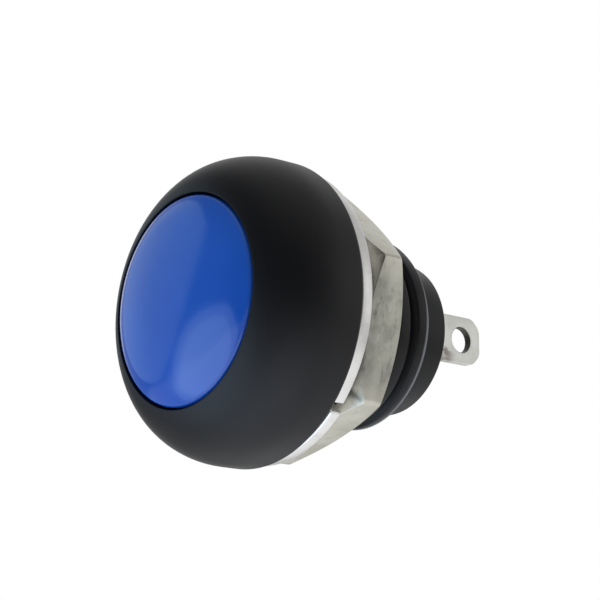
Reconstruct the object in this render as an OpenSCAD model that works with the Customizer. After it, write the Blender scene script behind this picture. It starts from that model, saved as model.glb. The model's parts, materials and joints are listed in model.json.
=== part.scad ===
// Sealed push button switch for a 12 mm round panel hole, normally open, momentary.
// The panel axis is Y: the button faces -Y and the two solder lugs point to +Y.
// The origin is the centre of the seat, the flat ring under the head that meets the panel.
// Shapes are drawn along +Z with the button up, z = 0 on the seat, and turned at the end.

/* [Head] */
// Largest radius of the round head
head_r = 9.25; // [8.9:0.05:10]
// Radius of the rounding at the foot of the head
foot_round_r = 0.3; // [0.1:0.05:0.6]
// Height above the seat at which the head starts to close in
waist_h = 1.45; // [1.2:0.05:2.1]
// Radius of the arc that closes in from the widest place
side_arc_r = 5.4; // [4.8:0.1:6]
// Angle that this side arc sweeps
side_arc_sweep = 22; // [15:1:30]
// Radius of the arc over the crown of the head
crown_arc_r = 4.3; // [4:0.05:4.8]

/* [Barrel] */
// Radius over the crests of the barrel's thread
thread_r = 6; // [5.9:0.05:6.1]
// Length of the barrel behind the seat
barrel_l = 8.4; // [8:0.1:12]
// Chamfer on the barrel's rear edge
barrel_chamfer = 0.3; // [0.1:0.05:0.5]
// Radius of the contact chamber inside the barrel
chamber_r = 4.6; // [4.45:0.05:4.9]

/* [Button] */
// Radius of the button cap
cap_r = 6.25; // [6:0.05:6.5]
// Gap between the cap and the rim of its opening
cap_gap = 0.13; // [0.08:0.01:0.2]
// Height of the cap's dome above its edge
cap_rise = 1.35; // [0.8:0.05:2]
// Radius of the cap's rounded edge
cap_edge_r = 0.3; // [0.15:0.05:0.5]
// Thickness of the cap's skirt
cap_wall = 0.9; // [0.6:0.05:1.1]
// Thickness of the cap's roof at its edge
cap_roof = 0.9; // [0.7:0.05:1.2]
// Length of the skirt below the cap's edge
skirt_l = 2.9; // [2.5:0.05:2.95]
// How far the button travels when it is pressed home
travel = 1.5; // [0.8:0.1:1.6]

/* [Plunger] */
// Radius of the plunger's stem
stem_r = 1.8; // [1.6:0.05:1.9]
// Radius of the spigot that the cap is pressed onto
spigot_r = 1.2; // [0.9:0.05:1.3]
// Length of the spigot
spigot_l = 2.3; // [1.6:0.1:2.6]
// Wall of the cap's socket round the spigot
socket_wall = 1.15; // [0.8:0.05:1.25]
// Radius of the tail that carries the moving contact
tail_r = 1; // [0.8:0.05:1.2]

/* [Web and seal] */
// Height of the inner web's upper face above the seat
web_top = 0.1; // [0:0.05:0.3]
// Thickness of the inner web
web_t = 1.8; // [1.6:0.05:2]
// Radius of the well that holds the return spring
well_r = 4.4; // [4.2:0.05:4.9]
// Radius of the section of the seal ring
seal_wire_r = 0.5; // [0.4:0.02:0.54]
// Thickness of the flat ring that closes the seal's gland
seal_retainer_t = 0.3; // [0.2:0.05:0.4]

/* [Springs] */
// Radius of the return spring's wire
return_wire_r = 0.22; // [0.16:0.01:0.26]
// Mean radius of the return spring's coils
return_coil_r = 3.45; // [3.2:0.05:3.8]
// Number of turns of the return spring
return_turns = 5; // [4:0.5:6]
// Radius of the contact spring's wire
contact_wire_r = 0.09; // [0.07:0.01:0.1]
// Mean radius of the contact spring's coils
contact_coil_r = 1.42; // [1.36:0.02:1.5]
// Number of turns of the contact spring
contact_turns = 3; // [3:0.5:3.5]
// Length of the contact spring as fitted
contact_spring_l = 0.9; // [0.85:0.05:1.2]

/* [Moving contact] */
// Radius of the contact disc
disc_r = 3.9; // [3.6:0.05:4.1]
// Thickness of the contact disc
disc_t = 0.3; // [0.2:0.05:0.4]
// Radius of the section of the bead pressed into the disc
bead_r = 0.12; // [0.08:0.01:0.16]
// Thickness of the push-on ring under the disc
push_ring_t = 0.4; // [0.3:0.05:0.5]
// Thickness of the retaining clip under the web
clip_t = 0.4; // [0.3:0.05:0.5]
// Radius of the plunger in the clip's groove
clip_groove_r = 1.3; // [1.1:0.05:1.4]
// Outer radius of the retaining clip
clip_r = 2.8; // [2.6:0.05:3.2]

/* [Terminals] */
// Thickness of the terminal strip
strip_t = 0.5; // [0.4:0.05:0.6]
// Distance from the axis to the strip's inner face
strip_x = 2.4; // [2.2:0.05:2.5]
// Width of the solder lug
lug_w = 3; // [2.6:0.1:3.4]
// Width of the strip inside the base
shank_w = 2; // [1.6:0.1:2.2]
// Distance from the seat to the lugs' tips
lug_reach = 15.6; // [13.9:0.1:17.9]
// Chamfer on the corners of the lug's tip
lug_corner = 0.65; // [0.3:0.05:0.9]
// Radius of the hole in the lug
lug_hole_r = 0.8; // [0.6:0.05:0.9]
// Distance from the lug's tip to its hole's centre
lug_hole_in = 1.65; // [1.5:0.05:2.2]
// Distance from the axis to the contact rivets
rivet_x = 3.15; // [3.1:0.05:3.25]
// Radius of the rivet's head
rivet_r = 0.6; // [0.5:0.05:0.65]
// Height of the rivet's head
rivet_h = 0.25; // [0.2:0.05:0.3]
// Radius of the rivet's shank
rivet_shank_r = 0.35; // [0.25:0.05:0.4]

/* [Terminal base] */
// Radius of the part of the base that shows behind the barrel
base_r = 4.8; // [4.7:0.05:5.2]
// Length of the part of the base that shows
base_l = 2.35; // [2:0.05:3]
// Edge chamfer of the base
base_chamfer = 0.2; // [0.1:0.05:0.3]
// Radius of the resin-filled recess in the base
recess_r = 3.9; // [3.7:0.05:4.1]
// Depth of that recess
recess_d = 0.8; // [0.6:0.05:1]
// Depth to which the resin stays below the base's rim
resin_drop = 0.25; // [0.1:0.05:0.4]
// Depth of the pocket that leaves room for the plunger's tail
pocket_d = 0.5; // [0.3:0.05:0.8]
// Gap round the tail in that pocket
pocket_gap = 0.5; // [0.3:0.05:0.7]

/* [Nut and washer] */
// Room between the washer and the nut, as delivered
nut_play = 0.74; // [0.05:0.01:1.5]
// Wall of the nut between its bore and a flat
nut_wall = 1.45; // [1.1:0.05:1.9]
// Thickness of the nut
nut_t = 2.65; // [2.2:0.05:3]
// Angle of the chamfer on the nut's corners, front and rear
nut_chamfer_angle = 30; // [20:1:35]
// Angle from +X of one corner of the nut, as it is tightened
nut_turn_angle = 17; // [0:1:59]
// Thickness of the lock washer
washer_t = 0.85; // [0.6:0.01:1.2]
// Width of the lock washer's section
washer_w = 2.8; // [2.2:0.05:3.1]
// Gap between the washer and the barrel
washer_gap = 0.15; // [0.1:0.05:0.3]
// Set of the washer's split ends along the axis
washer_set = 0.24; // [0.1:0.01:0.4]
// Angle from +X of the split
split_angle = -46; // [-180:1:180]
// Angle that the split takes up
split_width = 4; // [2:0.5:10]

/* [Hidden] */
$fn = 72;

slip = 0.03;          // gap of parts that are pushed together or run on each other
stop_gap = 0.05;      // room left at a stop, so that faces do not overlap there
thread_gap = 0.05;    // radial play of the nut on the thread
face_gap = 0.02;      // room between two faces that turn on each other
loose = 0.15;         // radial play of a flat ring that lies loose on its seat
overcut = 1;          // how far a cutter reaches past what it cuts
overlap = 0.1;        // how far two shapes of one piece run into each other
skirt_clear = 0.2;    // room left under the skirt when the button is home
clip_land = 0.75;     // stem between the clip's groove and the contact spring
tail_stub = 0.4;      // tail that shows below the push-on ring
foot_margin = 0.25;   // strip left beyond the rivet's head
nut_rim = 0.05;       // step in from the nut's flats to the edge of either face
arc_steps = 14;       // straight steps that stand for a rounded stretch of an outline

// Outline of the head, from its arcs
foot_c = [head_r - foot_round_r, foot_round_r];
side_c = [head_r - side_arc_r, waist_h];
crown_c = side_c + (side_arc_r - crown_arc_r) * [cos(side_arc_sweep), sin(side_arc_sweep)];
opening_r = cap_r + cap_gap;
crown_end = acos((opening_r - crown_c[0]) / crown_arc_r);
rim_z = crown_c[1] + crown_arc_r * sin(crown_end);

// Button cap
dome_r = (cap_r * cap_r + cap_rise * cap_rise) / (2 * cap_rise);
dome_cz = rim_z + cap_rise - dome_r;
cap_edge_c = [cap_r - cap_edge_r,
    dome_cz + sqrt(pow(dome_r - cap_edge_r, 2) - pow(cap_r - cap_edge_r, 2))];
cap_edge_start = atan2(cap_edge_c[1] - dome_cz, cap_edge_c[0]);
roof_z = rim_z - cap_roof;
skirt_z = rim_z - skirt_l;
cap_floor_z = skirt_z - travel - skirt_clear;
socket_r = spigot_r + slip;
boss_r = spigot_r + socket_wall;

// Web, seal and return spring
web_bottom = web_top - web_t;
seal_mean_r = stem_r + slip + seal_wire_r;
gland_r = seal_mean_r + seal_wire_r + slip;
gland_floor = web_top - 2 * seal_wire_r - 4 * slip;
retainer_top = web_top + seal_retainer_t;

// Plunger, from the web down
clip_top = web_bottom - stop_gap;
clip_bottom = clip_top - clip_t;
shoulder_z = clip_bottom - clip_land;
disc_top = shoulder_z - contact_spring_l;
disc_bottom = disc_top - disc_t;
push_ring_bottom = disc_bottom - push_ring_t;
tail_z = push_ring_bottom - tail_stub;

// Fixed contacts and the base that carries them
rivet_top = disc_bottom - bead_r - travel - stop_gap;
foot_top = rivet_top - rivet_h;
base_top = foot_top - strip_t;
foot_end_x = rivet_x + rivet_r + foot_margin;
recess_z = -barrel_l - base_l + recess_d;
resin_z = -barrel_l - base_l + resin_drop;
pocket_r = tail_r + pocket_gap;

// Nut and washer, part of the way along the thread
washer_in_r = thread_r + washer_gap;
washer_r = washer_in_r + washer_w;
nut_front = -washer_t - washer_set - nut_play;
nut_rear = nut_front - nut_t;
nut_bore_r = thread_r + thread_gap;
nut_flat_r = nut_bore_r + nut_wall;
nut_face_r = nut_flat_r - nut_rim;
nut_corner_r = nut_flat_r / cos(30);

// Points of an arc about a centre, from angle a0 to angle a1
function arc(c, r, a0, a1, steps = arc_steps) =
    [for (i = [0:steps]) let (a = a0 + (a1 - a0) * i / steps) c + r * [cos(a), sin(a)]];

// Height of a spring's wire after a number of turns: its end turns lie closed
function coil_z(turn, turns, wire_r, z0, z1) =
    let (d = 2 * wire_r, low = z0 + wire_r, high = z1 - wire_r)
    turn < 1 ? low + d * turn
    : turn > turns - 1 ? high - d * (turns - turn)
    : low + d + (high - low - 2 * d) * (turn - 1) / (turns - 2);

// Turns what is drawn along +Z, button up, so that the button faces -Y
module on_panel_axis() {
    rotate([90, 0, 0]) children();
}

// Left-hand pieces (side = -1) are the right-hand ones turned half way round the axis
module on_side(side) {
    rotate([0, 0, side > 0 ? 0 : 180]) children();
}

// A closed surface through equal rings of points, with flat ends
module skin(rings) {
    n = len(rings[0]);
    last = len(rings) - 1;
    sides = [for (i = [0:last - 1], j = [0:n - 1])
        [i * n + j, i * n + (j + 1) % n, (i + 1) * n + (j + 1) % n, (i + 1) * n + j]];
    polyhedron(
        points = [for (ring = rings, p = ring) p],
        faces = concat([[for (j = [0:n - 1]) n - 1 - j]], sides, [[for (j = [0:n - 1]) last * n + j]]),
        convexity = 8);
}

// A coil spring of round wire that stands between z0 and z1
module coil(coil_r, wire_r, turns, z0, z1, per_turn, wire_sides) {
    rings = [for (i = [0:turns * per_turn])
        let (turn = i / per_turn, a = 360 * turn, z = coil_z(turn, turns, wire_r, z0, z1))
        [for (j = [0:wire_sides - 1])
            let (b = -360 * j / wire_sides, r = coil_r + wire_r * cos(b))
            [r * cos(a), r * sin(a), z + wire_r * sin(b)]]];
    skin(rings);
}

// A flat ring from one height to another
module ring(inner_r, outer_r, z0, z1) {
    translate([0, 0, z0]) difference() {
        cylinder(r = outer_r, h = z1 - z0);
        translate([0, 0, -overcut]) cylinder(r = inner_r, h = z1 - z0 + 2 * overcut);
    }
}

// Head, threaded barrel and inner web, moulded in one
module housing() {
    outline = concat(
        [[chamber_r, -barrel_l], [thread_r - barrel_chamfer, -barrel_l],
         [thread_r, -barrel_l + barrel_chamfer], [thread_r, 0]],
        arc(foot_c, foot_round_r, -90, 0, 6),
        arc(side_c, side_arc_r, 0, side_arc_sweep, 5),
        arc(crown_c, crown_arc_r, side_arc_sweep, crown_end),
        [[opening_r, cap_floor_z], [well_r, cap_floor_z], [well_r, web_top],
         [gland_r, web_top], [gland_r, gland_floor], [stem_r + slip, gland_floor],
         [stem_r + slip, web_bottom], [chamber_r, web_bottom]]);
    color([0.13, 0.13, 0.14]) on_panel_axis()
        rotate_extrude() polygon(outline);
}

// Domed cap with its skirt and the socket for the plunger
module button_cap() {
    outline = concat(
        arc([0, dome_cz], dome_r, 90, cap_edge_start),
        arc(cap_edge_c, cap_edge_r, cap_edge_start, 0, 6),
        [[cap_r, skirt_z], [cap_r - cap_wall, skirt_z], [cap_r - cap_wall, roof_z],
         [boss_r, roof_z], [boss_r, skirt_z], [socket_r, skirt_z],
         [socket_r, skirt_z + spigot_l + slip], [0, skirt_z + spigot_l + slip]]);
    color([0.2, 0.38, 0.71]) on_panel_axis()
        rotate_extrude() polygon(outline);
}

// Turned rod that carries the cap at one end and the moving contact at the other
module plunger() {
    tip = 0.2;
    outline = [
        [0, skirt_z + spigot_l], [spigot_r - tip, skirt_z + spigot_l],
        [spigot_r, skirt_z + spigot_l - tip], [spigot_r, skirt_z], [stem_r, skirt_z],
        [stem_r, clip_top + face_gap], [clip_groove_r, clip_top + face_gap],
        [clip_groove_r, clip_bottom - face_gap], [stem_r, clip_bottom - face_gap],
        [stem_r, shoulder_z], [tail_r, shoulder_z], [tail_r, tail_z + tip],
        [tail_r - tip, tail_z], [0, tail_z]];
    color("ivory") on_panel_axis()
        rotate_extrude() polygon(outline);
}

// Rubber ring that keeps water out along the plunger
module plunger_seal() {
    color([0.1, 0.1, 0.1]) on_panel_axis()
        translate([0, 0, gland_floor + seal_wire_r + slip])
        rotate_extrude() translate([seal_mean_r, 0]) circle(r = seal_wire_r, $fn = 32);
}

// Flat ring over the gland: it holds the seal down and seats the return spring
module seal_retainer() {
    color("silver") on_panel_axis()
        ring(stem_r + loose, well_r - loose, web_top, retainer_top);
}

// Spring that lifts the button again
module return_spring() {
    color("gainsboro") on_panel_axis()
        coil(return_coil_r, return_wire_r, return_turns, retainer_top, roof_z, 24, 8);
}

// Three-pronged clip in the plunger's groove: it meets the web and stops the button
module retaining_clip() {
    rim_in_r = stem_r + loose + overlap;
    prong_w = 0.9;
    snap = 0.2;
    mouth_w = 2 * (clip_groove_r - snap);
    color("silver") on_panel_axis()
        translate([0, 0, clip_bottom]) linear_extrude(clip_t) difference() {
            union() {
                difference() {
                    circle(r = clip_r);
                    circle(r = rim_in_r);
                }
                for (a = [90, 210, 330]) rotate(a)
                    translate([0, -prong_w / 2]) square([rim_in_r + overlap, prong_w]);
            }
            circle(r = clip_groove_r + slip);
            translate([-mouth_w / 2, -clip_r - overcut]) square([mouth_w, clip_r + overcut]);
        }
}

// Small spring that presses the disc home on both rivets
module contact_spring() {
    color("gainsboro") on_panel_axis()
        coil(contact_coil_r, contact_wire_r, contact_turns, disc_top, shoulder_z, 20, 6);
}

// Disc that joins the two fixed contacts, with a bead that meets the rivets
module contact_disc() {
    outline = concat(
        [[tail_r + slip, disc_top], [tail_r + slip, disc_bottom]],
        arc([rivet_x, disc_bottom], bead_r, 180, 360, 8),
        [[disc_r, disc_bottom], [disc_r, disc_top]]);
    color([0.85, 0.82, 0.74]) on_panel_axis()
        rotate_extrude() polygon(outline);
}

// Push-on ring that holds the disc on the tail
module contact_retainer() {
    dish = 0.15;
    lip = 0.3;
    flange = 0.75;
    outline = [
        [tail_r + slip / 2, disc_bottom - dish], [tail_r + slip / 2, push_ring_bottom],
        [tail_r + lip, push_ring_bottom], [tail_r + flange, disc_bottom - dish],
        [tail_r + flange, disc_bottom], [tail_r + lip + overlap, disc_bottom]];
    color("silver") on_panel_axis()
        rotate_extrude() polygon(outline);
}

// Fixed contact: a rivet through the terminal's foot
module contact_rivet(side) {
    color([0.88, 0.86, 0.8]) on_panel_axis() on_side(side)
        translate([rivet_x, 0, 0]) {
            translate([0, 0, foot_top]) cylinder(r = rivet_r, h = rivet_h);
            translate([0, 0, base_top]) cylinder(r = rivet_shank_r, h = strip_t + rivet_h / 2);
        }
}

module contact_rivet_left() {
    contact_rivet(-1);
}

module contact_rivet_right() {
    contact_rivet(1);
}

// Outline of the lug from the resin to its tip, with both corners of the tip cut off
module lug_outline() {
    polygon([
        [-lug_w / 2, recess_z], [-lug_w / 2, -lug_reach + lug_corner],
        [-lug_w / 2 + lug_corner, -lug_reach], [lug_w / 2 - lug_corner, -lug_reach],
        [lug_w / 2, -lug_reach + lug_corner], [lug_w / 2, recess_z]]);
}

// Stamped strip: a foot bent over the base, a shank through it and a solder lug
module terminal(side) {
    bend = concat(
        [[strip_x, recess_z - overlap]],
        arc([strip_x + strip_t, foot_top - strip_t], strip_t, 180, 90, 6),
        [[foot_end_x, foot_top], [foot_end_x, base_top], [strip_x + strip_t, base_top],
         [strip_x + strip_t, recess_z - overlap]]);
    color([0.8, 0.8, 0.77]) on_panel_axis()
        on_side(side) difference() {
            union() {
                translate([0, shank_w / 2, 0]) rotate([90, 0, 0])
                    linear_extrude(shank_w) polygon(bend);
                translate([strip_x, 0, 0]) rotate([90, 0, 90])
                    linear_extrude(strip_t) lug_outline();
            }
            translate([strip_x - overcut, 0, -lug_reach + lug_hole_in]) rotate([0, 90, 0])
                cylinder(r = lug_hole_r, h = strip_t + 2 * overcut);
            translate([rivet_x, 0, base_top - overcut])
                cylinder(r = rivet_shank_r, h = strip_t + 2 * overcut);
        }
}

module terminal_left() {
    terminal(-1);
}

module terminal_right() {
    terminal(1);
}

// Insulating plug that closes the barrel and carries both terminals
module terminal_base() {
    rear = -barrel_l - base_l;
    outline = [
        [0, base_top - pocket_d], [pocket_r, base_top - pocket_d],
        [pocket_r, base_top], [chamber_r - slip, base_top], [chamber_r - slip, -barrel_l],
        [base_r, -barrel_l], [base_r, rear + base_chamfer], [base_r - base_chamfer, rear],
        [recess_r, rear], [recess_r, recess_z], [0, recess_z]];
    color([0.16, 0.16, 0.17]) on_panel_axis()
        difference() {
            rotate_extrude() polygon(outline);
            for (side = [1, -1]) on_side(side)
                translate([strip_x - slip, -shank_w / 2 - slip, recess_z - overcut])
                    cube([strip_t + 2 * slip, shank_w + 2 * slip,
                        base_top - recess_z + 2 * overcut]);
        }
}

// Resin poured into the base round both lugs
module potting() {
    color([0.08, 0.08, 0.09]) on_panel_axis()
        difference() {
            translate([0, 0, resin_z]) cylinder(r = recess_r - slip, h = recess_z - resin_z);
            for (side = [1, -1]) on_side(side)
                translate([strip_x - slip, -lug_w / 2 - slip, resin_z - overcut])
                    cube([strip_t + 2 * slip, lug_w + 2 * slip,
                        recess_z - resin_z + 2 * overcut]);
        }
}

// Split lock washer: a flat section bent to a slight helix, its ends set apart
module lock_washer() {
    steps = 96;
    sweep = 360 - split_width;
    rings = [for (i = [0:steps])
        let (a = split_angle + split_width / 2 + sweep * i / steps,
            z = -washer_set * i / steps)
        [for (p = [[washer_r, z], [washer_in_r, z], [washer_in_r, z - washer_t],
            [washer_r, z - washer_t]]) [p[0] * cos(a), p[0] * sin(a), p[1]]]];
    color("silver") on_panel_axis()
        skin(rings);
}

// Thin hexagon nut, its corners chamfered front and rear
module mounting_nut() {
    past_r = nut_corner_r + overlap;
    drop = (past_r - nut_face_r) * tan(nut_chamfer_angle);
    lead = 0.25;
    turned = [
        [nut_bore_r, nut_front - lead], [nut_bore_r + lead, nut_front], [nut_face_r, nut_front],
        [past_r, nut_front - drop], [past_r, nut_rear + drop],
        [nut_face_r, nut_rear], [nut_bore_r + lead, nut_rear], [nut_bore_r, nut_rear + lead]];
    color("silver") on_panel_axis()
        intersection() {
            rotate_extrude() polygon(turned);
            rotate(nut_turn_angle) translate([0, 0, nut_rear - overcut])
                cylinder(r = nut_corner_r, h = nut_t + 2 * overcut, $fn = 6);
        }
}

housing();
button_cap();
plunger();
plunger_seal();
seal_retainer();
return_spring();
retaining_clip();
contact_spring();
contact_disc();
contact_retainer();
contact_rivet_left();
contact_rivet_right();
terminal_left();
terminal_right();
terminal_base();
potting();
lock_washer();
mounting_nut();
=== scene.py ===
import json
import math

import bmesh
import bpy
from bmesh.types import BMEdge, BMFace, BMVert
from mathutils import Matrix, Vector


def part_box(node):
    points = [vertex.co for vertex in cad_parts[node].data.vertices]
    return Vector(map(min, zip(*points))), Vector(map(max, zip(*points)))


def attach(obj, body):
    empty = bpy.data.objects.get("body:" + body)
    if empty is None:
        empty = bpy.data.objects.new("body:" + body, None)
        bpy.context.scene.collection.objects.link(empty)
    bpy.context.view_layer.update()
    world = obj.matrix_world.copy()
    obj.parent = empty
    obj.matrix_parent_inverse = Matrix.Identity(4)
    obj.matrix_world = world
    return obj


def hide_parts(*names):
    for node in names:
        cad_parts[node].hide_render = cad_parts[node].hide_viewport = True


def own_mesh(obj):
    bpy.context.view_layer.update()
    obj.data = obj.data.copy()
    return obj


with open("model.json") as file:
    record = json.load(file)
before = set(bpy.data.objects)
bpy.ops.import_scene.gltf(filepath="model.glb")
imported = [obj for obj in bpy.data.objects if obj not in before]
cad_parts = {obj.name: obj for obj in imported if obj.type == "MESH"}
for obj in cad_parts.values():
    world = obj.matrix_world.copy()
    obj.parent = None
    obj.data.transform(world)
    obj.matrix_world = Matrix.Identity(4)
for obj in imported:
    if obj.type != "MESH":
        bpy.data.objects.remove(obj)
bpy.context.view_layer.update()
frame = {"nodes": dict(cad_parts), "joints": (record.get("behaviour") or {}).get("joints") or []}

# Shapes are drawn in millimetres along +Z with the button up, z = 0 on the head's seat, as the
# solids are. TO_PANEL_AXIS turns them so that the button faces -Y, and scales them to metres.
MM = 0.001
TO_PANEL_AXIS = Matrix.Rotation(math.radians(90), 4, "X") @ Matrix.Scale(MM, 4)


def reach(node, axis):
    """How far a solid goes along +X, -Y or +Z, in millimetres."""
    low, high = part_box(node)
    return (-low[1] if axis == "-Y" else high["XYZ".index(axis[-1])]) / MM


# Sizes that the solids give. A name in _z is a height on the axis, and one in _r a radius.
head_r = reach("housing", "+X")
rim_z = reach("housing", "-Y")
barrel_z = -reach("housing", "+Y")
cap_r = reach("button_cap", "+X")
cap_top = reach("button_cap", "-Y")
skirt_z = -reach("button_cap", "+Y")
base_r = reach("terminal_base", "+X")
base_z = -reach("terminal_base", "+Y")
resin_z = -reach("potting", "+Y")
resin_r = reach("potting", "+X")
recess_z = reach("potting", "-Y")
washer_r = reach("lock_washer", "+Z")
washer_front = reach("lock_washer", "-Y")
washer_rear = -reach("lock_washer", "+Y")
nut_front = reach("mounting_nut", "-Y")
nut_rear = -reach("mounting_nut", "+Y")
lug_z = -reach("terminal_right", "+Y")
foot_x = reach("terminal_right", "+X")
foot_z = reach("terminal_right", "-Y")
lug_w = 2 * reach("terminal_right", "+Z")
base_top = reach("terminal_base", "-Y")
coil_front = reach("return_spring", "-Y")
coil_rear = -reach("return_spring", "+Y")
coil_r = reach("return_spring", "+X")

# Sizes inside those boxes, as in the part's source. Angles are in degrees.
foot_round_r = 0.3
waist_z = 1.45
side_arc_r, side_sweep = 5.4, 22
crown_arc_r = 4.3
opening_r = cap_r + 0.13
thread_r = 6.0
thread_root_r = 5.5
thread_pitch = 1.5
groove_z = -6.95
chamber_r = 4.6
web_top, web_bottom = 0.1, -1.7
well_r = 4.4
well_depth = 1.7
gland_r, gland_z = 2.86, -1.02
stem_hole_r = 1.83
cap_wall, cap_roof = 0.9, 0.9
cap_rise = cap_top - rim_z
socket_r, socket_h = 1.23, 2.33
boss_r = 2.35
washer_t, washer_in_r = 0.85, 6.15
split_angle, split_width = -46, 4
nut_flat_r, nut_face_r, nut_bore_r = 7.5, 7.45, 6.05
nut_corner_angle = 17
nut_chamfer = 30
recess_r = resin_r + 0.03
strip_x, strip_t = 2.4, 0.5
shank_w = 2.0
lug_corner = 0.65
hole_r, hole_in = 0.8, 1.65
wire_r, coil_turns = 0.22, 5


# ---------------------------------------------------------------- drawing and turning

def only(kind, geometry):
    """The vertices, edges or faces in what an operator made."""
    return [item for item in geometry if isinstance(item, kind)]


def everything(mesh):
    """All that a mesh holds, as the operators take it."""
    return mesh.verts[:] + mesh.edges[:] + mesh.faces[:]


class Pen:
    """Draws a section in the XZ plane, by straight runs and arcs, to be turned round Z.

    A point is a radius and a height.
    """

    def __init__(self, mesh, r, z):
        self.mesh = mesh
        self.first = self.tip = mesh.verts.new((r, 0, z))

    def to(self, r, z):
        made = bmesh.ops.extrude_vert_indiv(self.mesh, verts=[self.tip])
        self.tip = made["verts"][0]
        self.tip.co = (r, 0, z)
        return self

    def arc(self, centre, degrees, steps):
        made = bmesh.ops.spin(
            self.mesh, geom=[self.tip], cent=(centre[0], 0, centre[1]), axis=(0, -1, 0),
            angle=math.radians(degrees), steps=steps)
        self.tip = only(BMVert, made["geom_last"])[0]
        return self

    def close(self):
        self.mesh.edges.new((self.tip, self.first))


def turn(mesh, steps=144, degrees=360.0, climb=0.0):
    """Turns the drawn section round Z. climb is how far it moves along Z at each step."""
    bmesh.ops.spin(
        mesh, geom=everything(mesh), cent=(0, 0, 0), axis=(0, 0, 1), dvec=(0, 0, climb),
        angle=math.radians(degrees), steps=steps, use_merge=degrees == 360 and not climb)
    bmesh.ops.remove_doubles(mesh, verts=mesh.verts, dist=1e-4)
    bmesh.ops.recalc_face_normals(mesh, faces=mesh.faces)


def swing(mesh, degrees):
    """Moves what is drawn round Z."""
    bmesh.ops.rotate(
        mesh, verts=mesh.verts, cent=(0, 0, 0),
        matrix=Matrix.Rotation(math.radians(degrees), 3, "Z"))


def soften(mesh, width, segments=2, over=25, where=lambda edge: True):
    """Rounds the edges at which two faces meet at more than an angle in degrees."""
    sharp = [e for e in mesh.edges
             if e.is_manifold and e.calc_face_angle() > math.radians(over) and where(e)]
    bmesh.ops.bevel(
        mesh, geom=sharp, offset=width, segments=segments, affect="EDGES", profile=0.5,
        material=-1, clamp_overlap=True)


def close_slivers(mesh, near=1e-3):
    """Closes up the slivers that bevels and cuts leave."""
    bmesh.ops.remove_doubles(mesh, verts=mesh.verts, dist=near)
    bmesh.ops.dissolve_degenerate(mesh, dist=near, edges=mesh.edges)


def radius(vert):
    """How far a vertex is from the Z axis."""
    return math.hypot(vert.co.x, vert.co.y)


def set_radius(vert, r):
    """Moves a vertex straight towards the Z axis, or away from it."""
    k = r / radius(vert)
    vert.co.x *= k
    vert.co.y *= k


def add_object(name, data):
    """Puts a new object at the origin of the scene."""
    made = bpy.data.objects.new(name, data)
    bpy.context.scene.collection.objects.link(made)
    return made


def mesh_data(name, mesh):
    """The finished mesh of what is drawn."""
    data = bpy.data.meshes.new(name)
    mesh.to_mesh(data)
    mesh.free()
    return data


def assemble(name, mesh, body, finish, nodes, smooth=35):
    """Turns a drawn shape to the panel axis and puts it on its body with its finish.

    Edges stay sharp where two faces meet at more than smooth degrees.
    """
    bmesh.ops.transform(mesh, matrix=TO_PANEL_AXIS, verts=mesh.verts)
    data = mesh_data(name, mesh)
    data.shade_smooth()
    data.set_sharp_from_angle(angle=math.radians(smooth))
    data.materials.append(finish)
    made = add_object(name, data)
    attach(made, body)
    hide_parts(*nodes)
    return made


# ---------------------------------------------------------------- finishes

def colour(red, green, blue):
    """A finish's colour from its eight-bit values."""
    return tuple((c / 255 / 12.92) if c <= 10 else ((c / 255 + 0.055) / 1.055) ** 2.4
                 for c in (red, green, blue)) + (1.0,)


class Value:
    """A number that varies over a surface. Plain arithmetic on it adds its Math nodes."""

    def __init__(self, finish, socket):
        self.finish = finish
        self.socket = socket

    def maths(self, operation, *terms):
        return self.finish.node(
            "ShaderNodeMath", {"operation": operation}, dict(enumerate(terms)))

    def __add__(self, other):
        return self.maths("ADD", self, other)

    def __sub__(self, other):
        return self.maths("SUBTRACT", self, other)

    def __rsub__(self, other):
        return self.maths("SUBTRACT", other, self)

    def __mul__(self, other):
        return self.maths("MULTIPLY", self, other)

    __radd__ = __add__
    __rmul__ = __mul__

    def larger(self, other):
        return self.maths("MAXIMUM", self, other)

    def between(self, start, end):
        """0 below start, 1 above end and a soft step between, either way round."""
        return self.finish.node(
            "ShaderNodeMapRange", {"interpolation_type": "SMOOTHSTEP"},
            {"Value": self, "From Min": start, "From Max": end})


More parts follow.
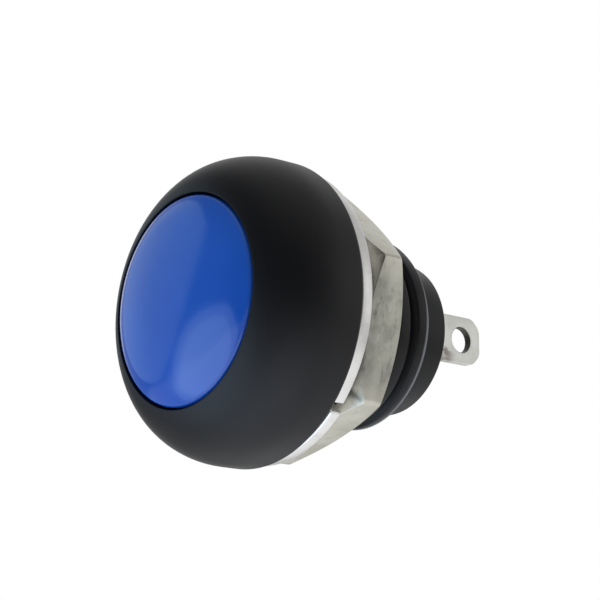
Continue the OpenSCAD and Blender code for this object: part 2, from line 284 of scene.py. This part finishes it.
class Finish:
    """A surface finish: its material and the nodes that make it up."""

    def __init__(self, owner, output="ShaderNodeOutputMaterial"):
        self.owner = owner
        owner.use_nodes = True
        self.tree = owner.node_tree
        self.tree.nodes.clear()
        self.output = self.tree.nodes.new(output)

    def node(self, kind, settings=None, sockets=None, out=0):
        made = self.tree.nodes.new(kind)
        for name, setting in (settings or {}).items():
            setattr(made, name, setting)
        for name, value in (sockets or {}).items():
            if isinstance(value, Value):
                self.tree.links.new(value.socket, made.inputs[name])
            else:
                made.inputs[name].default_value = value
        return Value(self, made.outputs[out])

    def place(self):
        """Where a point is on the object, in metres."""
        return self.node("ShaderNodeTexCoord", out="Object")

    def stretched(self, scale, turn_by=(0, 0, 0)):
        """The place with each axis scaled, so that a pattern on it is drawn out."""
        return self.node(
            "ShaderNodeMapping", {},
            {"Vector": self.place(), "Rotation": turn_by, "Scale": scale})

    def noise(self, scale, detail=3.0, roughness=0.55, at=None):
        """Soft noise from 0 to 1. scale is the number of features in a metre."""
        return self.node(
            "ShaderNodeTexNoise", {},
            {"Vector": at or self.place(), "Scale": scale, "Detail": detail,
             "Roughness": roughness})

    def near(self, spot, inner, outer, at=None):
        """1 within a distance of a spot, 0 beyond another, all in millimetres."""
        away = self.node(
            "ShaderNodeVectorMath", {"operation": "DISTANCE"},
            {0: at or self.place(), 1: [c * MM for c in spot]}, out="Value")
        return away.between(outer * MM, inner * MM)

    def level(self, z, inner, outer):
        """1 within a distance of a height on the axis, 0 beyond another."""
        return self.near((0, -z, 0), inner, outer, self.stretched((0, 1, 0)))

    def ray(self, kind):
        """1 for light of one kind, such as Is Camera Ray."""
        return self.node("ShaderNodeLightPath", out=kind)

    def mirrored(self):
        """1 for what a glossy or clear surface sees."""
        return self.ray("Is Glossy Ray").larger(self.ray("Is Transmission Ray"))

    def toward(self, direction):
        """How far a ray of the surroundings points along a direction, from -1 to 1."""
        return self.node(
            "ShaderNodeVectorMath", {"operation": "DOT_PRODUCT"},
            {0: self.node("ShaderNodeTexCoord", out="Generated"), 1: direction}, out="Value")

    def blend(self, mask, first, second):
        """One colour, turning into another where the mask is 1."""
        return self.node("ShaderNodeMix", {"data_type": "RGBA"}, {0: mask, 6: first, 7: second}, 2)

    def relief(self, height, depth, strength=1.0, on=None):
        """Bumps of a depth in metres."""
        sockets = {"Height": height, "Distance": depth, "Strength": strength}
        if on:
            sockets["Normal"] = on
        return self.node("ShaderNodeBump", {}, sockets)

    def surface(self, **sockets):
        """Ends the finish in a Principled surface. A name's underscores stand for spaces."""
        sockets = {name.replace("_", " "): value for name, value in sockets.items()}
        shader = self.node("ShaderNodeBsdfPrincipled", {}, sockets)
        self.tree.links.new(shader.socket, self.output.inputs["Surface"])
        return self.owner


def new_finish(name):
    return Finish(bpy.data.materials.new(name))


def cap_gloss():
    """The cap's blue plastic: polished in the mould, with a faint waviness and fine rubs."""
    f = new_finish("cap_gloss")
    cloud = f.noise(160, 2)
    rubs = f.noise(900, 4, 0.7, f.stretched((1, 0.3, 7), (0, 0.5, 0.6))).between(0.6, 0.74)
    wave = f.noise(420, 2)
    pits = f.noise(5200, 2)
    return f.surface(
        Base_Color=f.blend(cloud.between(0.3, 0.7), colour(24, 82, 180), colour(31, 90, 188)),
        Roughness=0.12 + cloud * 0.06 + rubs * 0.12,
        IOR=1.49,
        Coat_Weight=0.25 - rubs * 0.1,
        Coat_Roughness=0.08,
        Normal=f.relief(pits, 1.2e-6, 0.35, f.relief(wave, 6e-6, 0.5)))


def head_satin():
    """The head's black plastic: a fine even grain, a little dustier where it is handled."""
    f = new_finish("head_satin")
    cloud = f.noise(110, 3)
    grain = f.noise(9000, 2)
    dust = f.noise(2600, 3, 0.7).between(0.6, 0.8) * cloud
    rubs = f.noise(700, 4, 0.7, f.stretched((6, 1, 1), (0.4, 0.2, 0))).between(0.62, 0.78)
    return f.surface(
        Base_Color=f.blend(dust * 0.5, colour(14, 14, 17), colour(36, 36, 40)),
        Roughness=0.36 + cloud * 0.16 - rubs * 0.08,
        IOR=1.46,
        Specular_IOR_Level=0.36,
        Normal=f.relief(grain, 2.4e-6, 0.5, f.relief(cloud, 2e-5, 0.3)))


def barrel_plastic():
    """The same plastic on the thread and the plug, with a painted highlight on the rear edge."""
    f = new_finish("barrel_plastic")
    cloud = f.noise(300, 3)
    grain = f.noise(8000, 2)
    marks = f.noise(1500, 4, 0.7, f.stretched((1, 6, 1))).between(0.58, 0.75)
    # A painted highlight lies along the thread's rear edge, where it runs out into its chamfer
    outside = 1 - f.near((0, 0, 0), 5.6, 5.8, f.stretched((1, 0, 1)))
    edge = f.level(barrel_z + 0.37, 0.05, 0.12) * outside
    black = f.blend(marks * 0.45 + cloud * 0.2, colour(14, 14, 16), colour(44, 44, 46))
    return f.surface(
        Base_Color=f.blend(edge * (0.6 + cloud * 0.4), black, colour(150, 150, 154)),
        Roughness=0.3 + cloud * 0.14 - marks * 0.06,
        IOR=1.47,
        Specular_IOR_Level=0.28,
        Normal=f.relief(grain, 2e-6, 0.4))


def nickel_plate(name, bright, dull, marks_and_painted_rims=0.0):
    """Nickel plate: soft blotches, light scratches and worn specks.

    The last argument darkens and streaks one nut flat, and paints shade and highlight on its rims.
    """
    f = new_finish(name)
    blotch = f.noise(380, 4, 0.65)
    stain = f.noise(1300, 5, 0.75).between(0.56, 0.74)
    along = f.noise(1100, 5, 0.8, f.stretched((1, 0.14, 1), (0.25, 0, 0.1)))
    across = f.noise(1600, 5, 0.8, f.stretched((0.2, 1, 0.2), (0, 0.5, 0)))
    scratch = along.between(0.62, 0.7).larger(across.between(0.66, 0.74))
    flat = f.near((7.4, 3.1, -1.7), 2.6, 4.2) * marks_and_painted_rims * (0.5 + blotch.between(0.4, 0.6) * 0.5)
    worn = f.noise(1900, 4, 0.75, f.stretched((1, 1, 0.14), (0.1, 0, 0))).between(0.56, 0.66)
    streaks = worn * marks_and_painted_rims * (0.25 + flat * 0.9)
    # Painted shade along the nut's front rim, where it meets the washer, and a painted highlight
    # along its rear rim
    painted_front_rim_shade = f.level(nut_front, 0.08, 0.3) * marks_and_painted_rims
    painted_rear_rim_highlight = f.level(nut_rear, 0.03, 0.1) * marks_and_painted_rims
    plate = f.blend(blotch.between(0.35, 0.7), bright, dull)
    for mask, tone in ((flat, colour(126, 128, 122)), (streaks, colour(74, 74, 68)),
                       (painted_front_rim_shade, colour(64, 62, 52)), (painted_rear_rim_highlight, colour(240, 239, 234))):
        plate = f.blend(mask, plate, tone)
    return f.surface(
        Base_Color=f.blend(stain * 0.3 + scratch * 0.16, plate, colour(140, 134, 118)),
        Metallic=1.0,
        Roughness=0.26 + blotch * 0.16 + scratch * 0.14,
        Normal=f.relief(scratch, 5e-6, 0.4, f.relief(blotch, 2e-5, 0.35)))


def tinned_strip():
    """Tinned lugs: dull waves of tin, a brown spot on one lug, and painted shade in the holes."""
    f = new_finish("tinned_strip")
    wave = f.noise(520, 3, 0.6)
    spangle = f.noise(2600, 3, 0.6)
    spot = f.near((2.9, 12.4, -1.1), 0.2, 1.1) * f.noise(1500, 3).between(0.36, 0.56) * 0.6
    # Painted shade on the wall of each lug's hole and a hair's width round it
    painted_hole_shade = f.near(
        (0, -lug_z - hole_in, 0), hole_r + 0.02, hole_r + 0.06, f.stretched((0, 1, 1)))
    tin = f.blend(wave.between(0.3, 0.7), colour(238, 238, 232), colour(222, 221, 214))
    tin = f.blend(painted_hole_shade, tin, colour(92, 88, 80))
    return f.surface(
        Base_Color=f.blend(spot, tin, colour(120, 84, 66)),
        Metallic=0.85 - spot * 0.6 - painted_hole_shade * 0.5,
        Roughness=0.34 + spangle * 0.16 + spot * 0.2,
        Normal=f.relief(spangle, 3e-6, 0.4, f.relief(wave, 2.5e-5, 0.4)))


def resin_gloss():
    """Black epoxy resin: glossy, slightly rippled, with a few trapped specks."""
    f = new_finish("resin_gloss")
    ripple = f.noise(500, 2)
    speck = f.noise(4200, 2).between(0.68, 0.74)
    return f.surface(
        Base_Color=f.blend(speck, colour(17, 17, 19), colour(58, 56, 52)),
        Roughness=0.12 + ripple * 0.12 + speck * 0.2,
        IOR=1.55,
        Coat_Weight=0.3,
        Normal=f.relief(ripple, 3e-5, 0.6))


def spring_steel():
    """Drawn spring wire and stamped spring steel, with fine die lines and a warm oil film."""
    f = new_finish("spring_steel")
    film = f.noise(450, 3)
    line = f.noise(3200, 4, 0.7, f.stretched((1, 5, 1)))
    return f.surface(
        Base_Color=f.blend(film.between(0.35, 0.7), colour(176, 176, 174), colour(150, 143, 130)),
        Metallic=1.0,
        Roughness=0.24 + line * 0.2,
        Normal=f.relief(line, 3e-6, 0.4))


def contact_silver():
    """Silver contacts: bright where they wipe, faintly yellow and sooty elsewhere."""
    f = new_finish("contact_silver")
    tarnish = f.noise(900, 4, 0.7).between(0.4, 0.7)
    grain = f.noise(5000, 3)
    return f.surface(
        Base_Color=f.blend(tarnish * 0.7, colour(232, 229, 220), colour(176, 158, 124)),
        Metallic=1.0,
        Roughness=0.22 + tarnish * 0.2 + grain * 0.08,
        Normal=f.relief(grain, 2e-6, 0.4))


def plunger_acetal():
    """White acetal turned from rod: faint lathe rings and a waxy surface."""
    f = new_finish("plunger_acetal")
    rings = f.noise(7000, 2, 0.5, f.stretched((0.05, 1, 0.05)))
    cloud = f.noise(260, 2)
    return f.surface(
        Base_Color=f.blend(cloud, colour(226, 223, 212), colour(210, 206, 192)),
        Roughness=0.38 + rings * 0.18,
        Subsurface_Weight=0.08,
        Subsurface_Radius=(0.001, 0.0009, 0.0007),
        Normal=f.relief(rings, 4e-6, 0.5))


def seal_rubber():
    """Black nitrile rubber, matt, with a trace of grease."""
    f = new_finish("seal_rubber")
    grease = f.noise(700, 3).between(0.45, 0.65)
    grain = f.noise(6000, 3)
    return f.surface(
        Base_Color=f.blend(grain, colour(22, 22, 22), colour(34, 34, 33)),
        Roughness=0.62 - grease * 0.3 + grain * 0.08,
        Normal=f.relief(grain, 3e-6, 0.6))


blue = cap_gloss()
black = head_satin()
thread_black = barrel_plastic()
nickel = nickel_plate("nut_nickel", colour(210, 208, 196), colour(194, 191, 178), 0.6)
zinc = nickel_plate("washer_zinc", colour(236, 235, 233), colour(222, 221, 218))
tin = tinned_strip()
resin = resin_gloss()
steel = spring_steel()
silver = contact_silver()
acetal = plunger_acetal()
rubber = seal_rubber()


# ---------------------------------------------------------------- head and barrel

def draw_head():
    """The head and its inner web, with the barrel's lining, in one turned section."""
    mesh = bmesh.new()
    side_c = (head_r - side_arc_r, waist_z)
    off = side_arc_r - crown_arc_r
    crown_c = (side_c[0] + off * math.cos(math.radians(side_sweep)),
               side_c[1] + off * math.sin(math.radians(side_sweep)))
    crown_end = math.degrees(math.acos((opening_r - crown_c[0]) / crown_arc_r))
    # The thread's ends turn in over the lining, and hide its edges
    lining_r, lining_z = thread_root_r - 0.3, barrel_z + 0.02
    pen = Pen(mesh, chamber_r, lining_z)
    pen.to(lining_r, lining_z).to(lining_r, 0).to(head_r - foot_round_r, 0)
    pen.arc((head_r - foot_round_r, foot_round_r), 90, 8).to(head_r, waist_z)
    pen.arc(side_c, side_sweep, 8).arc(crown_c, crown_end - side_sweep, 22)
    floor_z = skirt_z - well_depth
    pen.to(opening_r, floor_z).to(well_r, floor_z).to(well_r, web_top)
    pen.to(gland_r, web_top).to(gland_r, gland_z).to(stem_hole_r, gland_z)
    pen.to(stem_hole_r, web_bottom).to(chamber_r, web_bottom).close()
    turn(mesh, steps=160)
    soften(mesh, width=0.09, segments=3, over=40,
           where=lambda edge: all(v.co.z > waist_z for v in edge.verts))
    return mesh


def draw_thread():
    """The barrel's thread: a rounded right-hand groove, cut off square and chamfered behind."""
    mesh = bmesh.new()
    steps = 144
    # The groove's width at its root and along one flank
    root, flank = 0.16, 0.26
    # Where the thread starts inside the head, and how far its ends are chamfered and turn in
    top, chamfer, inward = 0.4, 0.3, 0.45
    centre = groove_z + thread_pitch * math.ceil((top - groove_z) / thread_pitch)
    pen = Pen(mesh, thread_root_r, centre + root / 2)
    while centre > barrel_z - 2 * thread_pitch:
        pen.to(thread_root_r, centre - root / 2)
        pen.to(thread_r, centre - root / 2 - flank)
        centre -= thread_pitch
        pen.to(thread_r, centre + root / 2 + flank)
        pen.to(thread_root_r, centre + root / 2)
    turn(mesh, steps, climb=thread_pitch / steps)
    soften(mesh, width=0.1, segments=3, over=20)
    for z, cut in ((top, 1), (barrel_z, -1), (barrel_z + chamfer, 0)):
        bmesh.ops.bisect_plane(
            mesh, geom=everything(mesh), dist=1e-5,
            plane_co=(0, 0, z), plane_no=(0, 0, 1), clear_outer=cut > 0, clear_inner=cut < 0)
    for v in mesh.verts:
        set_radius(v, min(radius(v), thread_r - max(0, barrel_z + chamfer - v.co.z)))
    close_slivers(mesh)
    ends = [e for e in mesh.edges if e.is_boundary]
    made = bmesh.ops.extrude_edge_only(mesh, edges=ends)["geom"]
    for v in only(BMVert, made):
        set_radius(v, thread_root_r - inward)
    bmesh.ops.bridge_loops(mesh, edges=[e for e in only(BMEdge, made) if e.is_boundary])
    bmesh.ops.recalc_face_normals(mesh, faces=mesh.faces)
    return mesh


# ---------------------------------------------------------------- button cap

def draw_cap():
    """The domed cap, rounder towards its edge, with its skirt and the socket for the plunger."""
    mesh = bmesh.new()
    edge_r = 0.4
    shoulder_r, shoulder_lean = 4.5, math.radians(34)
    roof_z = rim_z - cap_roof
    dome_r = (cap_r ** 2 + cap_rise ** 2) / (2 * cap_rise)
    dome_z = cap_top - dome_r
    edge_c = (cap_r - edge_r,
              dome_z + math.sqrt((dome_r - edge_r) ** 2 - (cap_r - edge_r) ** 2))
    shoulder_c = (edge_c[0] - (shoulder_r - edge_r) * math.sin(shoulder_lean),
                  edge_c[1] - (shoulder_r - edge_r) * math.cos(shoulder_lean))
    lean = 2 * math.atan2(cap_top - shoulder_r - shoulder_c[1], shoulder_c[0])
    crown_z = cap_top - shoulder_r - shoulder_c[0] / math.sin(lean)
    pen = Pen(mesh, 0, cap_top)
    pen.arc((0, crown_z), -math.degrees(lean), 32)
    pen.arc(shoulder_c, math.degrees(lean - shoulder_lean), 16)
    pen.arc(edge_c, math.degrees(shoulder_lean) - 90, 8)
    pen.to(cap_r, skirt_z).to(cap_r - cap_wall, skirt_z).to(cap_r - cap_wall, roof_z)
    pen.to(boss_r, roof_z).to(boss_r, skirt_z).to(socket_r, skirt_z)
    pen.to(socket_r, skirt_z + socket_h).to(0, skirt_z + socket_h)
    turn(mesh, steps=160)
    return mesh


def draw_return_spring():
    """The spring that lifts the button: round wire wound right-handed, its end turns closed."""
    mesh = bmesh.new()
    steps = 36
    closed = 2 * wire_r
    free = (coil_front - coil_rear - closed * 3) / (coil_turns - 2)
    bmesh.ops.create_circle(
        mesh, cap_ends=True, segments=12, radius=wire_r,
        matrix=Matrix.Translation((coil_r - wire_r, 0, coil_rear + wire_r))
        @ Matrix.Rotation(math.radians(90), 4, "X"))
    last = everything(mesh)
    for turns, rise in ((1, closed), (coil_turns - 2, free), (1, closed)):
        last = bmesh.ops.spin(
            mesh, geom=last, cent=(0, 0, 0), axis=(0, 0, 1), dvec=(0, 0, rise / steps),
            angle=2 * math.pi * turns, steps=steps * turns, use_merge=False)["geom_last"]
    bmesh.ops.recalc_face_normals(mesh, faces=mesh.faces)
    return mesh


# ---------------------------------------------------------------- washer and nut

def draw_washer():
    """The split lock washer: a flat section turned on a slight helix, its edges rounded."""
    mesh = bmesh.new()
    steps = 142
    set_z = washer_front - washer_t - washer_rear
    bmesh.ops.create_grid(mesh, x_segments=1, y_segments=1, size=0.5)
    bmesh.ops.transform(
        mesh, verts=mesh.verts,
        matrix=Matrix.Translation(((washer_in_r + washer_r) / 2, 0, washer_front - washer_t / 2))
        @ Matrix.Diagonal((washer_r - washer_in_r, 1, washer_t, 1))
        @ Matrix.Rotation(math.radians(90), 4, "X"))
    turn(mesh, steps, 360 - split_width, -set_z / steps)
    swing(mesh, split_angle + split_width / 2)
    soften(mesh, width=0.13, segments=3, over=40,
           where=lambda edge: abs(radius(edge.verts[0]) - radius(edge.verts[1])) < 0.01)
    soften(mesh, width=0.03, segments=2, over=60)
    return mesh


def draw_nut():
    """The thin hexagon nut: its corners are turned off on both faces.

    It is turned as a round blank, and then each point of its side goes to the hexagon, and to
    the height at which the turned chamfer meets it there.
    """
    mesh = bmesh.new()
    corner_r = nut_flat_r / math.cos(math.radians(30))
    middle = (nut_front + nut_rear) / 2
    lead, half_side = 0.25, 0.5
    pen = Pen(mesh, nut_bore_r, nut_front - lead)
    pen.to(nut_bore_r + lead, nut_front).to(nut_face_r, nut_front)
    pen.to(corner_r, middle + half_side).to(corner_r, middle - half_side)
    pen.to(nut_face_r, nut_rear)
    pen.to(nut_bore_r + lead, nut_rear).to(nut_bore_r, nut_rear + lead).close()
    turn(mesh, steps=180)
    for v in mesh.verts:
        if radius(v) < nut_face_r + 0.01:
            continue
        angle = math.degrees(math.atan2(v.co.y, v.co.x)) % 60 - 30
        side_r = nut_flat_r / math.cos(math.radians(angle))
        drop = (side_r - nut_face_r) * math.tan(math.radians(nut_chamfer))
        v.co.z = nut_front - drop if v.co.z > middle else nut_rear + drop
        set_radius(v, side_r)
    bmesh.ops.recalc_face_normals(mesh, faces=mesh.faces)
    for width, segments, beyond in ((0.2, 4, corner_r - 0.02), (0.05, 3, nut_face_r - 0.02)):
        soften(mesh, width, segments, over=22,
               where=lambda edge: min(radius(v) for v in edge.verts) > beyond)
    close_slivers(mesh)
    swing(mesh, nut_corner_angle)
    return mesh


# ---------------------------------------------------------------- rear plug, resin and lugs

def draw_plug():
    """The insulating plug that closes the barrel, with the recess for the resin."""
    mesh = bmesh.new()
    pocket_r, pocket_z = 1.5, base_top - 0.5
    plug_r = chamber_r - 0.03
    pen = Pen(mesh, 0, pocket_z)
    pen.to(pocket_r, pocket_z).to(pocket_r, base_top).to(plug_r, base_top)
    pen.to(plug_r, barrel_z).to(base_r, barrel_z).to(base_r, base_z)
    pen.to(recess_r, base_z).to(recess_r, recess_z).to(0, recess_z)
    turn(mesh, steps=128)
    soften(mesh, width=0.17, segments=3, over=40,
           where=lambda edge: max(v.co.z for v in edge.verts) < base_z + 0.01)
    return mesh


def draw_resin():
    """The resin in the recess: it creeps up the wall a little and sinks in the middle."""
    mesh = bmesh.new()
    wall_r, floor_z = resin_r + 0.02, recess_z - 0.01
    creep, sink = 0.1, 0.05
    pen = Pen(mesh, 0, floor_z)
    pen.to(wall_r, floor_z).to(wall_r, resin_z - creep)
    pen.to(resin_r - 0.08, resin_z - 0.03).to(resin_r - 0.3, resin_z)
    pen.to(resin_r - 0.9, resin_z + 0.03).to(0, resin_z + sink)
    turn(mesh, steps=96)
    return mesh


def draw_lug(side):
    """A stamped terminal: lug with its hole, shank through the plug and foot bent over it."""
    mesh = bmesh.new()
    half, shank = lug_w / 2, shank_w / 2
    bend_r = 0.02
    shank_top = foot_z - strip_t - bend_r
    outline = [(shank, shank_top), (shank, recess_z), (half, recess_z), (half, lug_z + lug_corner),
               (half - lug_corner, lug_z)]
    corners = [mesh.verts.new((0, y, z))
               for y, z in outline + [(-y, z) for y, z in reversed(outline)]]
    for here, there in zip(corners, corners[1:] + corners[:1]):
        mesh.edges.new((here, there))
    bmesh.ops.create_circle(
        mesh, segments=48, radius=hole_r,
        matrix=Matrix.Translation((0, 0, lug_z + hole_in))
        @ Matrix.Rotation(math.radians(90), 4, "Y"))
    bmesh.ops.triangle_fill(mesh, edges=mesh.edges, use_beauty=True, normal=(1, 0, 0))
    made = bmesh.ops.extrude_face_region(mesh, geom=mesh.faces[:])["geom"]
    bmesh.ops.translate(mesh, verts=only(BMVert, made), vec=(strip_t, 0, 0))
    bmesh.ops.translate(mesh, verts=mesh.verts, vec=(strip_x, 0, 0))
    bmesh.ops.recalc_face_normals(mesh, faces=mesh.faces)
    end = [f for f in mesh.faces if all(v.co.z > shank_top - 0.01 for v in f.verts)]
    bent = bmesh.ops.spin(
        mesh, geom=end + list(end[0].edges) + list(end[0].verts),
        cent=(strip_x + strip_t + bend_r, 0, shank_top), axis=(0, 1, 0),
        angle=math.radians(90), steps=6)["geom_last"]
    foot = bmesh.ops.extrude_face_region(mesh, geom=only(BMFace, bent))["geom"]
    bmesh.ops.translate(
        mesh, verts=only(BMVert, foot), vec=(foot_x - strip_x - strip_t - bend_r, 0, 0))
    bmesh.ops.delete(
        mesh, geom=[f for f in only(BMFace, bent) if f.is_valid], context="FACES_ONLY")
    bmesh.ops.recalc_face_normals(mesh, faces=mesh.faces)
    bmesh.ops.dissolve_limit(
        mesh, angle_limit=math.radians(1), verts=mesh.verts, edges=mesh.edges,
        use_dissolve_boundaries=False)
    soften(mesh, width=0.3, segments=5, over=40,
           where=lambda edge: max(v.co.z for v in edge.verts) < lug_z + lug_corner + 0.01
           and abs(edge.verts[0].co.x - edge.verts[1].co.x) > strip_t / 2)
    soften(mesh, width=0.06, segments=3, over=40,
           where=lambda edge: max(v.co.z for v in edge.verts) < shank_top - 0.2)
    if side < 0:
        swing(mesh, 180)
    return mesh


assemble("head_moulding", draw_head(), "housing", black, ["housing"])
assemble("barrel_thread", draw_thread(), "housing", thread_black, ["housing"],
         smooth=50)
assemble("blue_cap", draw_cap(), "button", blue, ["button_cap"])
# The coil sits on the seal's retainer; it is not shortened with the button
coil = assemble("return_coil", draw_return_spring(), "housing", steel,
                ["return_spring"])
travel = next(j for j in frame["joints"] if j["name"] == "button_press")["range_m"][1] / MM
1 - travel / (coil_front - coil_rear)
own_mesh(coil)
assemble("split_washer", draw_washer(), "washer", zinc, ["lock_washer"])
assemble("hexagon_nut", draw_nut(), "nut", nickel, ["mounting_nut"], smooth=20)
assemble("rear_plug", draw_plug(), "housing", thread_black, ["terminal_base"])
assemble("resin_fill", draw_resin(), "housing", resin, ["potting"])
assemble("solder_lug_right", draw_lug(1), "housing", tin, ["terminal_right"])
assemble("solder_lug_left", draw_lug(-1), "housing", tin, ["terminal_left"])

# The solids inside keep their shape and get their finish
for node, finish in {
        "plunger": acetal, "plunger_seal": rubber, "seal_retainer": steel,
        "retaining_clip": steel, "contact_spring": steel, "contact_retainer": steel,
        "contact_disc": silver, "contact_rivet_left": silver,
        "contact_rivet_right": silver}.items():
    for holder in frame["nodes"][node].material_slots:
        holder.material = finish


# ---------------------------------------------------------------- floor, light and camera

FLOOR_Z = -0.25
FLOOR_HALF = 1.5
WHITE, BLACK = (1, 1, 1, 1), (0, 0, 0, 1)

# The camera's lens in millimetres, and its place and directions in metres
LENS, SENSOR = 120, 36
CAMERA_PLACE = (0.0898, -0.0738, -0.0269)
CAMERA_AHEAD = (-0.7388, 0.6324, 0.2329)
CAMERA_UP = (0.1761, -0.1525, 0.9725)


def plain_floor():
    """A pale floor under the object. Glossy surfaces see it white on the right, dim on the left."""
    mesh = bmesh.new()
    bmesh.ops.create_grid(mesh, x_segments=1, y_segments=1, size=FLOOR_HALF)
    bmesh.ops.translate(mesh, verts=mesh.verts, vec=(0, 0, FLOOR_Z))
    data = mesh_data("floor", mesh)
    f = new_finish("floor_paper")
    lit = f.near((190, 300, FLOOR_Z / MM), 340, 750)
    glow = (f.mirrored() * lit * 0.52).larger(f.ray("Is Camera Ray") * 0.41)
    data.materials.append(f.surface(
        Base_Color=f.blend(f.noise(30, 2), (0.86, 0.86, 0.86, 1), (0.88, 0.88, 0.88, 1)),
        Roughness=0.9,
        Emission_Color=f.blend(glow, BLACK, WHITE),
        Emission_Strength=1.0))
    floor = add_object("floor", data)


def studio():
    """White all round to the eye. In reflections it is white behind and below, dim in front."""
    world = bpy.data.worlds.new("studio")
    bpy.context.scene.world = world
    f = Finish(world, "ShaderNodeOutputWorld")
    seen, mirrored = f.ray("Is Camera Ray"), f.mirrored()
    # Directions from the object: behind and below it as the camera sees it, and the sides
    behind = f.toward((-0.739, 0.632, 0.233))
    below = f.toward((-0.176, 0.153, -0.973))
    left = f.toward((-0.651, -0.760, 0.0))
    right = f.toward((0.75, 0.63, 0.2))
    above = f.toward((-0.3, 0.6, 0.74))
    around = 0.05 + behind.between(-0.95, 0.1) * 0.45 + behind.between(0.3, 0.9) * 0.5
    around = around + below.between(-0.05, 0.5) * behind.between(0.6, 0.0) * 0.42
    around = around + right.between(0.9, 0.97) * 0.45
    around = around * (1 - left.between(0.1, 0.6) * behind.between(0.98, 0.85) * 0.82)
    around = around * (1 - above.between(0.75, 0.97) * 0.2)
    strength = seen + (1 - seen) * (mirrored * around + (1 - mirrored) * 0.46)
    light = f.node("ShaderNodeBackground", {}, {"Color": WHITE, "Strength": strength})
    f.tree.links.new(light.socket, f.output.inputs["Surface"])


def soft_lamp(name, place, size, power, tint):
    """A round soft lamp that faces the object. Metres, watts and a share of each colour."""
    data = bpy.data.lights.new(name, "AREA")
    data.shape = "DISK"
    data.color = tint
    data.size = size
    data.energy = power
    lamp = add_object(name, data)
    lamp.location = place
    lamp.rotation_mode = "QUATERNION"
    lamp.rotation_quaternion = Vector(place).to_track_quat("Z", "Y")


def stand_camera():
    """The camera looks at the cap from its right and a little from below."""
    data = bpy.data.cameras.new("camera")
    data.lens = LENS
    data.sensor_width = SENSOR
    data.clip_start, data.clip_end = 0.005, 10
    camera = add_object("camera", data)
    ahead = Vector(CAMERA_AHEAD).normalized()
    right = ahead.cross(Vector(CAMERA_UP)).normalized()
    turned = Matrix((right, right.cross(ahead), -ahead)).transposed()
    camera.matrix_world = Matrix.Translation(CAMERA_PLACE) @ turned.to_4x4()
    bpy.context.scene.camera = camera


bpy.context.scene.view_settings.view_transform = "Standard"
plain_floor()
studio()
soft_lamp("left_lamp", (-0.255, -0.12, 0.102), 0.31, 0.13, (0.6, 0.82, 1.0))
soft_lamp("low_front_lamp", (-0.11, -0.245, -0.1), 0.25, 0.142, (0.55, 0.75, 1.0))
soft_lamp("low_front_glow", (-0.1, -0.245, -0.115), 0.34, 0.3, (0.55, 0.75, 1.0))
soft_lamp("low_right_lamp", (0.055, -0.066, -0.202), 0.32, 0.18, (0.62, 0.76, 1.0))
stand_camera()
